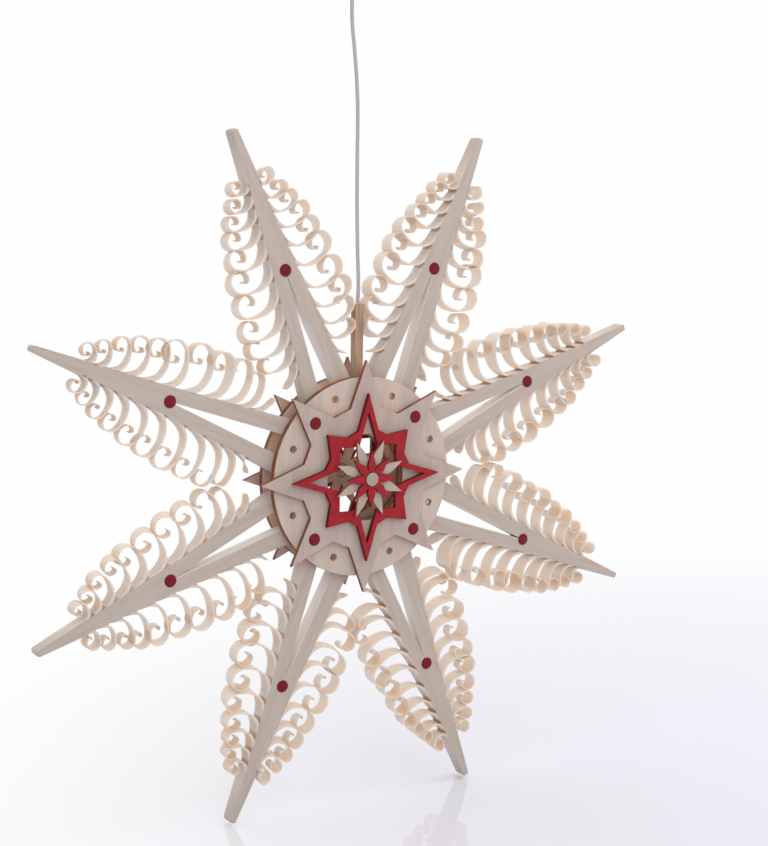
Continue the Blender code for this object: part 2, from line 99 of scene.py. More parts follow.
class StarSizes(bpy.types.PropertyGroup):
    """Sizes of the wooden star."""

    tip_radius: Size("Tip radius", "Hub centre to a ray's blunt tip", 0.2155, min=0.1)
    tip_half_width: Size("Tip half width", "Half the width of a ray's blunt end", 0.0018)
    thickness: Size("Ray thickness", "Depth of a ray and of its shaved curls", 0.0094)
    peg_radius: Size("Peg distance", "Hub centre to the red peg of a ray", 0.1313)
    peg_half_width: Size("Half width at peg", "Half the width of a ray beside its peg", 0.0085)
    leg_splay: Angle("Leg splay", "Outer edge of a leg to the ray's axis", math.radians(5.8))
    slit_splay: Angle("Split splay", "Inner edge of a leg to the ray's axis", math.radians(4.7))
    leg_end: Size("Leg end", "Hub centre to the inner end of a leg", 0.038)
    dowel_diameter: Size("Dowel diameter", "Thickness of the red pegs and dowels", 0.0072)
    curls: property_of(IntProperty, min=3, max=20)(
        "Curls", "Shaved curls along one edge of a ray", 11)
    curl_first: Size("First curl", "Hub centre to the root of the curl next to the tip", 0.1810)
    pitch_least: Size("Least spacing", "Spacing of the curls at the ends of a row", 0.0073)
    pitch_most: Size("Most spacing", "Spacing of the curls in the middle of a row", 0.0133)
    curl_lean: Number("Curl lean", "Degrees from the ray's tip to a curl at its root", 126.0)
    loop_share: Number("Loop size", "Radius of a curl's loop as a share of the spacing", 0.60)
    loop_turn: Number("Loop turn", "How far a curl's loop turns, in degrees", 410.0)
    curl_first_height: Size("First curl height", "Height of the curl next to the tip", 0.0098)
    curl_full_height: Size("Full curl height", "Height of the tallest curls", 0.0268)
    shaving: Size("Shaving thickness", "Thickness of a curl at its root", 0.0009)
    disc_radius: Size("Disc radius", "Radius of the discs that hold the legs", 0.0592)
    opening_radius: Size("Opening radius", "Opening through discs and star plates", 0.0256)


class StarColours(bpy.types.PropertyGroup):
    """Colours of the star's woods, paint, plastic and enamel."""

    wood_pale: Colour("Pale wood", "Light fibres of the shaved wood", (0.586, 0.500, 0.432))
    wood_warm: Colour("Warm wood", "Dark fibres of the shaved wood", (0.489, 0.404, 0.338))
    shaving_back: Colour("Shaving back", "Pale side of the thin curls", (0.91, 0.903, 0.893))
    # The warm shaving colour is the wood's own tone in random patches and painted warm light in the
    # curls
    shaving_warmth_and_painted_light: Colour("Shaving hollow", "Warm side of the thin curls", (0.93, 0.79, 0.65))
    # Painted warm shade: the orange band where a curl's loop turns under, shaded by its neighbours
    # and lit through the wood
    shaving_painted_warm_shade: Colour("Shaving rub", "Band that the plane rubbed on a curl", (0.86, 0.65, 0.46))
    shaving_glow: Colour("Shaving glow", "Light that comes through a curl", (1.0, 0.945, 0.885))
    # The notch colour is painted shade: the dark of the deep cut behind the root of a curl
    notch: Colour("Notch", "Deep cut behind the root of a curl", (0.56, 0.29, 0.15))
    plate: Colour("Plate face", "Face of the star plates and pale petals", (0.68, 0.595, 0.53))
    # The disc face is lighter than the plate face: painted light that offsets the shade the star
    # plates cast on the discs
    disc: Colour("Disc face", "Face of the plywood discs", (0.80, 0.735, 0.645))
    plate_glow: Colour("Plate glow", "Light that comes through plywood", (1.0, 0.58, 0.43))
    burnt: Colour("Burnt edge", "Cut edges of the plates", (0.13, 0.060, 0.030))
    red: Colour("Red paint", "Painted frames and petals", (0.38, 0.014, 0.022))
    peg: Colour("Peg red", "Painted ends of pegs and dowels", (0.19, 0.005, 0.009))
    post: Colour("Post brown", "Hanger post", (0.45, 0.29, 0.19))
    lead: Colour("Lead white", "Plastic of the supply lead", (0.47, 0.455, 0.475))
    clip: Colour("Clip white", "Clip on the lead's loop", (0.55, 0.54, 0.56))
    holder: Colour("Holder white", "Holder of the lamp", (0.75, 0.74, 0.76))
    lens: Colour("Lens", "Lens of the lamp", (0.95, 0.70, 0.42))
    enamel: Colour("Enamel", "Ceiling hook and its plate", (0.60, 0.60, 0.61))


class StageSettings(bpy.types.PropertyGroup):
    """Camera and floor."""

    camera_place: property_of(FloatVectorProperty, subtype="TRANSLATION", size=3)(
        "Camera", "Camera from the hub's centre", (-0.49189, -0.82909, 0.16481))
    azimuth: Angle("Azimuth", "Where the camera stands round the star", math.radians(-31.668))
    elevation: Angle("Elevation", "How far the camera looks down", math.radians(7.905))
    roll: Angle("Roll", "Turn of the camera about its view", math.radians(0.907))
    lens: Number("Lens", "Focal length on a 36 mm sensor", 70.135, min=10.0)
    floor_drop: Size("Floor", "Hub centre down to the floor", 0.2005)
    floor_dark: Colour("Dark floor", "Darker dapples of the floor", (0.646, 0.653, 0.733))
    floor_light: Colour("Light floor", "Lighter dapples of the floor", (0.666, 0.673, 0.753))


# Nodes as Python expressions

class Wire:
    """A node's output that answers to arithmetic: each operation adds one Math node."""

    def __init__(self, nodes, socket):
        self.nodes, self.socket = nodes, socket

    def math(self, operation, first, second, clamp=False):
        values = {0: first, 1: second}
        return self.nodes.node("ShaderNodeMath", values, operation=operation, use_clamp=clamp)

    def __add__(self, other):
        return self.math("ADD", self, other)

    def __sub__(self, other):
        return self.math("SUBTRACT", self, other)

    def __rsub__(self, other):
        return self.math("SUBTRACT", other, self)

    def __mul__(self, other):
        return self.math("MULTIPLY", self, other)

    __radd__ = __add__
    __rmul__ = __mul__

    def clamped(self):
        return self.math("ADD", self, 0.0, clamp=True)

    def between(self, low, high):
        """0 up to low, 1 from high on, and smooth between."""
        values = {"Value": self, "From Min": low, "From Max": high}
        return self.nodes.node("ShaderNodeMapRange", values, interpolation_type="SMOOTHSTEP")


class Nodes:
    """A node tree that grows by one method."""

    def __init__(self, tree):
        self.tree = tree

    def node(self, kind, values=None, out=0, **settings):
        """Adds a node with its settings and the values or links of its sockets, for one output."""
        node = self.tree.nodes.new(kind)
        for key, value in settings.items():
            setattr(node, key, value)
        self.connect(node, values or {})
        return Wire(self, node.outputs[out])

    def connect(self, node, values):
        for key, value in values.items():
            socket = node.inputs[key]
            if isinstance(value, Wire):
                self.tree.links.new(value.socket, socket)
            elif socket.type == "RGBA":
                socket.default_value = (*value, 1.0)
            else:
                socket.default_value = value

    def seen(self):
        """1 for rays from the eye, in reflections and through thin wood, 0 for rays of light."""
        kinds = ("Is Camera Ray", "Is Glossy Ray", "Is Transmission Ray")
        eye, glossy, through = [self.node("ShaderNodeLightPath", out=kind) for kind in kinds]
        return eye.math("MAXIMUM", eye, glossy.math("MAXIMUM", glossy, through))


class Finish(Nodes):
    """A new material and the nodes of its finish."""

    def __init__(self, name):
        self.material = bpy.data.materials.new(name)
        self.material.use_nodes = True
        super().__init__(self.material.node_tree)
        self.shader = self.tree.nodes["Principled BSDF"]

    def shade(self, **values):
        """Feeds the shader, by socket name with spaces as underscores."""
        self.connect(self.shader, {key.replace("_", " "): value for key, value in values.items()})

    def blend(self, share, other):
        """Puts a share of another shader over this finish."""
        own = Wire(self, self.shader.outputs[0])
        both = self.node("ShaderNodeMixShader", {0: share, 1: own, 2: other})
        self.connect(self.tree.nodes["Material Output"], {"Surface": both})

    def glow(self, share, colour):
        """Lets a share of the light through from behind, in a colour."""
        self.blend(share, self.node("ShaderNodeBsdfTranslucent", {"Color": colour}))

    def place(self):
        """Object coordinates in metres."""
        return self.node("ShaderNodeTexCoord", out="Object")

    def attribute(self, name):
        return self.node("ShaderNodeAttribute", out="Fac", attribute_name=name)

    def noise(self, scale, detail, rough=0.55, where=None):
        """Soft noise of a scale, by object coordinates where no others are given."""
        scale = tuple(np.broadcast_to(scale, 3))
        values = {"Vector": where or self.place(), "Scale": scale}
        where = self.node("ShaderNodeMapping", values)
        values = {"Vector": where, "Scale": 1.0, "Detail": detail, "Roughness": rough}
        return self.node("ShaderNodeTexNoise", values)

    def mix(self, first, second, share):
        values = {0: share, 6: first, 7: second}
        return self.node("ShaderNodeMix", values, 2, data_type="RGBA")

    def ramp(self, tone, stops):
        """A colour that runs with tone through stops of (tone, colour)."""
        made = self.node("ShaderNodeValToRGB", {"Fac": tone})
        elements = made.socket.node.color_ramp.elements
        while len(elements) < len(stops):
            elements.new(0.5)
        for element, (place, colour) in zip(elements, stops):
            element.position, element.color = place, (*colour, 1.0)
        return made

    def shades(self, tone, colour, stops):
        """One colour, darker and lighter with tone by stops of (tone, factor)."""
        return self.ramp(tone, [(place, scaled(colour, factor)) for place, factor in stops])

    def bump(self, height, strength, depth):
        values = {"Height": height, "Strength": strength, "Distance": depth}
        self.shade(Normal=self.node("ShaderNodeBump", values))

    def cut_wall(self):
        """1 on walls cut through the star's thickness, 0 on its front and back faces."""
        normal = self.node("ShaderNodeTexCoord", out="Normal")
        across = self.node("ShaderNodeSeparateXYZ", {0: normal}, out="Y")
        return 1.0 - across.math("ABSOLUTE", across, 0.0)


def scaled(colour, factor):
    return tuple(min(1.0, part * factor) for part in colour)


def shaved_wood(colours):
    """Pale straight-grained wood: fibres along the ray and the curls, which let light through.

    A curl carries painted warm light on the back of its stem and in the hollow of its roll, where
    light through the wood would warm it, and a band of painted warm shade past the middle. Random
    warm patches are the wood's own tone. The notches carry painted shade, and pared and split walls
    painted light.
    """
    finish = Finish("shaved_wood")
    fibre = finish.node("ShaderNodeUVMap", uv_map="fibre")
    fine = finish.noise(FINE_FIBRE, 6.0, 0.62, fibre)
    broad = finish.noise(BROAD_FIBRE, 3.0, where=fibre)
    stops = [(0.34, colours.wood_warm), (0.52, colours.wood_pale),
             (0.70, scaled(colours.wood_pale, 1.08))]
    wood = finish.ramp(fine * 0.55 + broad * 0.45, stops)
    strand = finish.attribute("strand")
    hollow = finish.attribute("hollow")
    thin = strand.between(0.0, 0.03)
    curl = strand.between(0.03, 0.06)
    rolled = strand.between(0.45, 0.66)
    # Painted warm shade in a band past the middle of each curl
    painted_warm_band = strand.between(0.60, 0.73) * (1.0 - strand.between(0.76, 0.90))
    patch = finish.noise(WARM_PATCHES, 2.0).between(0.42, 0.66)
    # Painted warm light on the hollow of a roll and the back of a stem, and painted warmth on pared
    # walls;
    painted_glow_side = hollow * rolled + (1 - hollow) * (1 - rolled)
    # the random patches are the wood's own tone
    tone_and_painted_warmth = (patch * 0.2 + curl * painted_glow_side * 0.85 + (1 - curl) * 0.3).clamped()
    shaving = finish.mix(colours.shaving_back, colours.shaving_warmth_and_painted_light, tone_and_painted_warmth)
    shaving = finish.mix(shaving, colours.shaving_painted_warm_shade, painted_warm_band * 0.75)
    # Shaving colour on the curls, and painted light on the pared and split walls, whose strand
    # value is a little over 0
    wood = finish.mix(wood, shaving, thin * 0.88)
    # Painted shade in the notches, where the strand value is below 0
    wood = finish.mix(wood, colours.notch, (strand * -1.0).clamped())
    finish.shade(Base_Color=wood, Roughness=fine * 0.25 + 0.45)
    finish.bump(fine, 0.25, GRAIN_DEPTH)
    finish.glow(curl * (hollow * 0.1 + 0.34) + 0.06, colours.shaving_glow)
    return finish.material


def plate_wood(colours, name, tint, thin):
    """Sanded plywood: faint upright grain on the faces, and cut edges burnt brown in streaks.

    Thin is the share of light that comes through.
    """
    finish = Finish(name)
    fine = finish.noise(FINE_GRAIN, 6.0, 0.6)
    broad = finish.noise(BROAD_GRAIN, 3.0)
    stops = ((0.33, 0.80), (0.55, 1.0), (0.72, 1.12))
    face = finish.shades(fine * 0.5 + broad * 0.5, tint, stops)
    layers = finish.noise(PLY_LAYERS, 3.0).between(0.45, 0.75)
    scorch = finish.mix(colours.burnt, scaled(colours.burnt, 2.6), layers)
    drilled = finish.attribute("strand")
    wall = finish.cut_wall().between(0.12, 0.55) * (1.0 - drilled * 0.7)
    finish.shade(Base_Color=finish.mix(face, scorch, wall), Roughness=fine * 0.2 + 0.5,
                 Specular_IOR_Level=0.3)
    finish.bump(fine, 0.2, GRAIN_DEPTH)
    finish.glow(thin, colours.plate_glow)
    return finish.material


def red_paint(name, paint):
    """Satin red paint with brush marks, and painted shade on the cut walls."""
    finish = Finish(name)
    brush = finish.noise(BRUSH_MARKS, 5.0, 0.6)
    cloud = finish.noise(PAINT_CLOUDS, 2.0)
    stops = ((0.30, 0.72), (0.52, 1.0), (0.75, 1.35))
    face = finish.shades(brush * 0.55 + cloud * 0.45, paint, stops)
    # Painted shade: the cut walls of frames, petals and pegs are darkened to 0.3 of the paint
    wall = finish.cut_wall().between(0.2, 0.8)
    finish.shade(Base_Color=finish.mix(face, scaled(paint, 0.30), wall),
                 Roughness=brush * 0.25 + 0.36, Specular_IOR_Level=0.25)
    finish.bump(brush, 0.2, BRUSH_DEPTH)
    return finish.material


def brown_wood(colour):
    """Brown stick with upright grain."""
    finish = Finish("brown_wood")
    fine = finish.noise(POST_GRAIN, 6.0, 0.62)
    stain = finish.shades(fine, colour, ((0.32, 0.62), (0.52, 1.0), (0.72, 1.35)))
    finish.shade(Base_Color=stain, Roughness=fine * 0.2 + 0.5)
    finish.bump(fine, 0.3, GRAIN_DEPTH)
    return finish.material


def moulded(name, colour, rough):
    """Moulded or sprayed skin: fine orange-peel bump, and a touch of uneven colour and gloss."""
    finish = Finish(name)
    peel = finish.noise(ORANGE_PEEL, 2.0)
    cloud = finish.noise(SKIN_CLOUDS, 3.0)
    tint = finish.mix(scaled(colour, 0.93), scaled(colour, 1.05), cloud)
    finish.shade(Base_Color=tint, Roughness=cloud * 0.15 + rough)
    finish.bump(peel, 0.15, PEEL_DEPTH)
    return finish.material


def lamp_lens(colour):
    """Cloudy warm lens of the small lamp."""
    finish = Finish("lamp_lens")
    cloud = finish.noise(LENS_CLOUDS, 3.0)
    tint = finish.mix(scaled(colour, 0.9), scaled(colour, 1.1), cloud)
    finish.shade(Base_Color=tint, Roughness=cloud * 0.1 + 0.12, Emission_Color=tint,
                 Emission_Strength=45.0)
    return finish.material


def set_finish(node, material):
    """Gives a CAD node that keeps its shape a new material."""
    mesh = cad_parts[node].data
    mesh.materials.clear()
    mesh.materials.append(material)


# Surfaces as arrays

def heading(angle):
    """Unit vectors at angles to the first axis."""
    return np.stack((np.cos(angle), np.sin(angle)), -1)


def polar(radius, degrees):
    """Points at a radius and an angle from the first axis."""
    return heading(np.radians(degrees)) * np.asarray(radius)[..., None]


def ring(radius, sides, centre=(0.0, 0.0)):
    """Points of a circle: radius times cosine and sine of equal turns about its centre."""
    turn = np.linspace(0.0, 2 * math.pi, sides, endpoint=False)
    return heading(turn) * radius + np.asarray(centre)


def run_along(path):
    """Distance along a path up to each of its points."""
    return np.concatenate(([0.0], np.cumsum(np.linalg.norm(np.diff(path, axis=0), axis=1))))


def grid_faces(rows, columns, closed):
    """Quads of a grid of points numbered row by row, joined round where it is closed."""
    steps = columns if closed else columns - 1
    i, j = np.meshgrid(np.arange(rows - 1), np.arange(steps), indexing="ij")
    here, below, right = i * columns, (i + 1) * columns, (j + 1) % columns
    return np.stack((here + j, below + j, below + right, here + right), -1).reshape(-1, 4)


def tube_faces(rows, sides):
    """Quads of a tube and a flat over each of its ends."""
    ends = [list(range(sides)), list(range((rows - 1) * sides, rows * sides))]
    return grid_faces(rows, sides, True).tolist() + ends


class Build:
    """Gathers surfaces into one mesh."""

    def __init__(self):
        self.points, self.faces, self.values, self.count = [], [], [], 0

    def add(self, points, faces, fibre=(0.0, 0.0), strand=0.0, hollow=0.0):
        """Adds a surface: hollow is 1 for its points on the hollow side of a curl."""
        points = np.reshape(points, (-1, 3))
        values = np.empty((len(points), 4), np.float32)
        values[:, :2] = np.reshape(fibre, (-1, 2))
        values[:, 2], values[:, 3] = np.ravel(strand), np.ravel(hollow)
        self.points.append(points)
        self.values.append(values)
        self.faces += [[int(k) + self.count for k in face] for face in faces]
        self.count += len(points)

    def piece(self, name, body, node, material, sharp_deg=40.0):
        """The finished object, riding on its body in place of a CAD node."""
        mesh = bpy.data.meshes.new(name)
        mesh.from_pydata(np.concatenate(self.points).tolist(), [], self.faces)
        bm = bmesh.new()
        bm.from_mesh(mesh)
        bmesh.ops.recalc_face_normals(bm, faces=bm.faces[:])
        bm.to_mesh(mesh)
        bm.free()
        corner = np.empty(len(mesh.loops), np.int32)
        mesh.loops.foreach_get("vertex_index", corner)
        values = np.concatenate(self.values)
        mesh.uv_layers.new(name="fibre").data.foreach_set("uv", values[corner, :2].ravel())
        for label, column in (("strand", 2), ("hollow", 3)):
            layer = mesh.attributes.new(label, "FLOAT", "POINT")
            layer.data.foreach_set("value", values[:, column].copy())
        mesh.shade_smooth()
        mesh.set_sharp_from_angle(angle=math.radians(sharp_deg))
        mesh.materials.append(material)
        made = bpy.data.objects.new(name, mesh)
        bpy.context.scene.collection.objects.link(made)
        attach(made, body)
        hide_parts(node)
        return made


SHARP_CORNER, FACE_INSET, TURNED_SIDES = 0.35, 1.25, 40


def inset(loop, depth, outer):
    """A loop moved into its material by depth.

    Each corner slides along the mean of its sides' normals, and a sharp one is held back.
    """
    after = np.roll(loop, -1, 0)
    area = np.sum(loop[:, 0] * after[:, 1] - after[:, 0] * loop[:, 1])
    along = after - loop
    along /= np.linalg.norm(along, axis=1, keepdims=True)
    normal = np.stack((-along[:, 1], along[:, 0]), 1) * (1.0 if (area > 0) == outer else -1.0)
    mean = normal + np.roll(normal, 1, 0)
    mean /= np.maximum(np.sum(mean * mean, 1, keepdims=True) / 2, SHARP_CORNER)
    return loop + mean * depth


def to_star(flat, depth, turn=0.0):
    """Points of the star plane, turned about the hub, at a depth along Y."""
    c, s = math.cos(turn), math.sin(turn)
    x, z = flat[..., 0], flat[..., 1]
    depth = np.broadcast_to(depth, x.shape)
    return np.stack((x * c - z * s, depth, x * s + z * c + HUB_Z), -1)


def add_plate(build, loops, near, far, edge, turn=0.0, drilled=99, marks=0.0, nose=0, deep=1.0):
    """A flat piece with holes, closed all round.

    A profile of rim, chamfer, wall, chamfer and rim is carried round every loop, and a filled face
    joins the rims in front and behind. The first loop is the outer one, and the loops from number
    drilled on are bored rather than cut. Marks holds a strand value and deep a share of the depth
    for each corner of the outer loop. Nose counts the corners at both ends of a single loop that a
    strip of quads joins in place of the face.
    """
    step = math.copysign(edge, far - near)
    depths = np.array((near, near, near + step, far - step, far, far))[:, None]
    inner, fronts, backs = [], [], []
    for number, loop in enumerate(loops):
        outer, count, first = number == 0, len(loop), build.count
        rim, face = inset(loop, edge, outer), inset(loop, edge * FACE_INSET, outer)
        rows = np.stack((face, rim, loop, loop, rim, face))
        depth = np.broadcast_to(depths * (deep if outer else 1.0), (len(rows), count))
        strand = np.zeros(depth.shape)
        strand[1:-1] = marks if outer else float(number >= drilled)
        fibre = np.stack((rows[..., 0], rows[..., 1] + depth), -1)
        faces = grid_faces(len(rows), count, True)
        build.add(to_star(rows, depth, turn), faces, fibre, strand)
        inner.append(face)
        fronts.append(np.arange(first, first + count))
        backs.append(np.arange(build.count - count, build.count))
    flat = [[(*point, 0.0) for point in face[nose:len(face) - nose]] for face in inner]
    fill = [[corner + nose for corner in three] for three in tessellate_polygon(flat)]
    last = len(inner[0]) - 1
    fill += [[i, i + 1, last - 1 - i, last - i] for i in range(nose)]
    for ends in (np.concatenate(fronts), np.concatenate(backs)):
        build.faces += [ends[corners].tolist() for corners in fill]


def add_turned(build, centre, profile):
    """A turned piece: (radius, depth) rows carried round an axis along Y, closed by flats."""
    flat = profile[:, 0, None, None] * ring(1.0, TURNED_SIDES) + np.asarray(centre)
    depth = profile[:, 1, None]
    fibre = flat + depth[..., None] * [0.0, 1.0]
    build.add(to_star(flat, depth), tube_faces(len(profile), TURNED_SIDES), fibre)


def add_tube(build, path, outline, wide=(1.0, 0.0, 0.0)):
    """An outline of (across, over) points carried along a path, closed by flats at both ends.

    Across lies as near to wide as it can, square to the path.
    """
    tangent = np.gradient(path, axis=0)
    tangent /= np.linalg.norm(tangent, axis=1, keepdims=True)
    across = np.asarray(wide) - tangent * (tangent @ np.asarray(wide))[:, None]
    across /= np.linalg.norm(across, axis=1, keepdims=True)
    over = np.cross(tangent, across)
    points = path[:, None] + outline[:, :1] * across[:, None] + outline[:, 1:] * over[:, None]
    round_way = np.linspace(0.0, 1.0, len(outline)) * 0.008
    fibre = np.stack(np.broadcast_arrays(run_along(path)[:, None], round_way), -1)
    build.add(points, tube_faces(len(path), len(outline)), fibre)


# Rays

SEED = 40
STEM_POINTS, LOOP_POINTS, FOOT_POINTS, HOLE_POINTS = 15, 46, 7, 33
STEM_BEND = math.radians(60.0)
ROOT_LEAN = math.radians(28.0)
KNOB_START, KNOB_EASE, KNOB_SIZE = 0.58, 0.16, 0.22
GROWN_AT, GROWTH = 6.0, 1.6
LAST_ROLLED = (0.74, 0.62, 0.06)
PLACE_LUCK, HEIGHT_LUCK, LEAN_LUCK, TURN_LUCK, SIZE_LUCK = 0.00022, 0.025, 2.5, 16.0, 0.02
SHRINK_LUCK, DRIFT_LUCK, TWIST_LUCK = (0.52, 0.04), (0.0, 0.0005), (-0.0008, 0.0005)
FLAP_ROLLED, FLAP_LEAN, FLAP_HEIGHT = 0.1, 20.0, (0.32, 0.62)
ROOM_BESIDE, ROOM_BY_POST = 0.0006, 0.0033
ROOT_SHIFT, ROOT_SINK = 0.0012, 0.0002
FOOT_SHARE, FOOT_MOST, KNEE_AT, JOINED_AT = 0.6, 0.0062, 0.12, 0.75
END_WIDTH, END_START, THINNED, LOOP_MOST = 0.55, 0.75, 0.4, 0.47
SLIT_MOUTH, LEG_GAP = 0.00025, 0.0043
TIP_ROUND, TIP_ROUND_DEEP = 0.0017, 0.0021
RAY_CHAMFER = 0.00018

# Steps of a notch behind a root: (run to the tip, depth, strand value). A strand value below 0
# paints shade into the notch, and one a little over 0 paints light on the wall beside it.
NOTCH = np.array(((0.0003, 0.0, PARED_WALL_LIGHT), (0.0, 0.0, -0.7), (-0.0008, 0.0007, -1.0),
                  (-0.0022, 0.0007, -0.1), (-0.0040, 0.0003, PARED_WALL_LIGHT)))


def edge_half_width(sizes, along):
    """Half width of a ray: a straight taper from peg to tip, and splayed legs inside the peg."""
    past = along - sizes.peg_radius
    taper = (sizes.tip_half_width - sizes.peg_half_width) / (sizes.tip_radius - sizes.peg_radius)
    slope = np.where(past > 0.0, taper, -math.tan(sizes.leg_splay))
    return sizes.peg_half_width + slope * past


def curl_path(height, radius, lean, bend, loop_turn, shrink):
    """Middle line of a curl from its root, x to the tip and y outwards, with headings and run.

    The strand leaves the ray low over its notch, leaning to the hub, lifts off quickly and then
    bends evenly until it leans to the tip. There it rolls into a loop whose radius shrinks evenly
    with the turn, and drops to a small knob at the free end. The stem's length makes up the height.
    """
    turn = np.linspace(0.0, loop_turn, LOOP_POINTS)
    bent = lean - bend
    middle = (turn[1:] + turn[:-1]) / 2
    done = middle / loop_turn
    drop = np.clip((done - KNOB_START) / KNOB_EASE, 0.0, 1.0)
    size = (1.0 - shrink * done) * (1.0 - drop) + KNOB_SIZE * drop
    step = np.diff(turn) * radius * size
    loop = np.cumsum(step[:, None] * heading(bent - middle), 0)
    share = np.linspace(0.0, 1.0, STEM_POINTS)
    way = lean - bend * share + ROOT_LEAN * (1.0 - share) ** 4
    course = heading(way)
    stem = np.concatenate(([[0.0, 0.0]], np.cumsum((course[1:] + course[:-1]) / 2, 0)))
    stem *= (height - loop[:, 1].max()) / stem[-1, 1]
    line = np.concatenate((stem, stem[-1] + loop))
    return line, heading(np.concatenate((way, bent - turn[1:]))), run_along(line)


def curl_roots(sizes, room, luck):
    """Place, height and room along the ray of every curl on one edge, tip first.

    The spacing swells from both ends of the row to its middle with the square of a sine. The
    heights grow from the tip on, and leave room to the middle line between two rays.
    """
    index = np.arange(sizes.curls)
    swell = np.sin(math.pi * (index[:-1] + 0.3) / (sizes.curls - 0.2)) ** 2
    pitch = sizes.pitch_least + (sizes.pitch_most - sizes.pitch_least) * swell
    along = sizes.curl_first - np.concatenate(([0.0], np.cumsum(pitch)))
    along = along + luck.normal(0.0, PLACE_LUCK, sizes.curls)
    lack = np.maximum(0.0, 1.0 - index / GROWN_AT) ** GROWTH
    growth = sizes.curl_full_height - sizes.curl_first_height
    grown = sizes.curl_full_height - growth * lack
    grown = grown * luck.normal(1.0, HEIGHT_LUCK, sizes.curls)
    half = SECTOR / 2
    free = along * math.tan(half) - room / math.cos(half) - edge_half_width(sizes, along)
    nearer = np.minimum(np.append(pitch[:1], pitch), np.append(pitch, sizes.pitch_least))
    return along, np.minimum(grown, free), nearer


def add_curl(build, sizes, along, height, pitch, rolled, side, turn, luck):
    """One curl: a thin flat ribbon, as wide as the ray is thick, carried along its curl path.

    The ribbon thins and narrows to its free end. At the root its tip side runs into the ray's edge
    in a hollow curve, a quadratic blend of a point on the edge, a corner by the root and a point
    of the strand. Rolled is the share of the loop that is rolled up: where little is, the strand
    is a short flap.
    """
    edge = edge_half_width(sizes, along)
    lean = sizes.curl_lean + FLAP_LEAN * (1.0 - rolled) ** 2 + luck.normal(0.0, LEAN_LUCK)
    bend = STEM_BEND * (0.35 + 0.65 * min(1.0, 2.0 * rolled))
    loop_turn = math.radians(sizes.loop_turn + luck.normal(0.0, TURN_LUCK)) * rolled
    radius = min(pitch * sizes.loop_share * luck.normal(1.0, SIZE_LUCK), height * LOOP_MOST)
    shrink = luck.normal(*SHRINK_LUCK) * rolled
    line, course, run = curl_path(height, radius, math.radians(lean), bend, loop_turn, shrink)
    thick = sizes.shaving * (1.0 - THINNED * run / run[-1])[:, None]
    normal = np.stack((course[:, 1], -course[:, 0]), 1)
    line = line + np.array((along + ROOT_SHIFT, edge)) - normal[0] * thick[0] / 2
    inner = line - normal * thick / 2
    outer = line + normal * thick / 2

    reach = min(FOOT_SHARE * pitch, FOOT_MOST)
    foot = np.array((along + reach, edge_half_width(sizes, along + reach) - ROOT_SINK))
    knee = np.array((along + KNEE_AT * reach, edge))
    joined = np.searchsorted(run, JOINED_AT * reach) + 1
    t = np.linspace(0.0, 1.0, FOOT_POINTS)[:, None]
    hollow = (1 - t) ** 2 * foot + 2 * t * (1 - t) * knee + t ** 2 * outer[joined]
    start, place = np.linspace(0.0, joined, FOOT_POINTS), np.arange(joined + 1)
    low = [np.interp(start, place, values[:joined + 1]) for values in (*inner.T, run)]
    root = np.stack(low[:2], 1)
    root[0] -= course[0] * ROOT_SHIFT
    inner = np.concatenate((root, inner[joined + 1:]))
    outer = np.concatenate((hollow, outer[joined + 1:]))
    run = np.concatenate((low[2], run[joined + 1:]))

    share = run / run[-1]
    half = sizes.thickness / 2
    ending = np.clip((share - END_START) / (1.0 - END_START), 0.0, 1.0)
    narrow = 1.0 - (1.0 - END_WIDTH) * ending
    drift = luck.normal(*DRIFT_LUCK) * share ** 2
    twist = luck.normal(*TWIST_LUCK) * np.sin(math.pi * share) ** 2
    corners, fibre = [], []
    for edge_line, deep in ((outer, -half), (outer, half), (inner, half), (inner, -half)):
        flat = edge_line + (twist * math.copysign(1.0, deep))[:, None] * [1.0, 0.0]
        corners.append(to_star(flat * [1.0, side], deep * narrow + drift, turn))
        fibre.append(np.stack((run + along, np.full(len(run), deep + 7.0 * along)), 1))
    strand = np.repeat(CURL_ROOT + (1.0 - CURL_ROOT) * share, len(corners))
    build.add(np.stack(corners, 1), tube_faces(len(run), len(corners)), np.stack(fibre, 1), strand,
              np.tile((1.0, 1.0, 0.0, 0.0), len(run)))


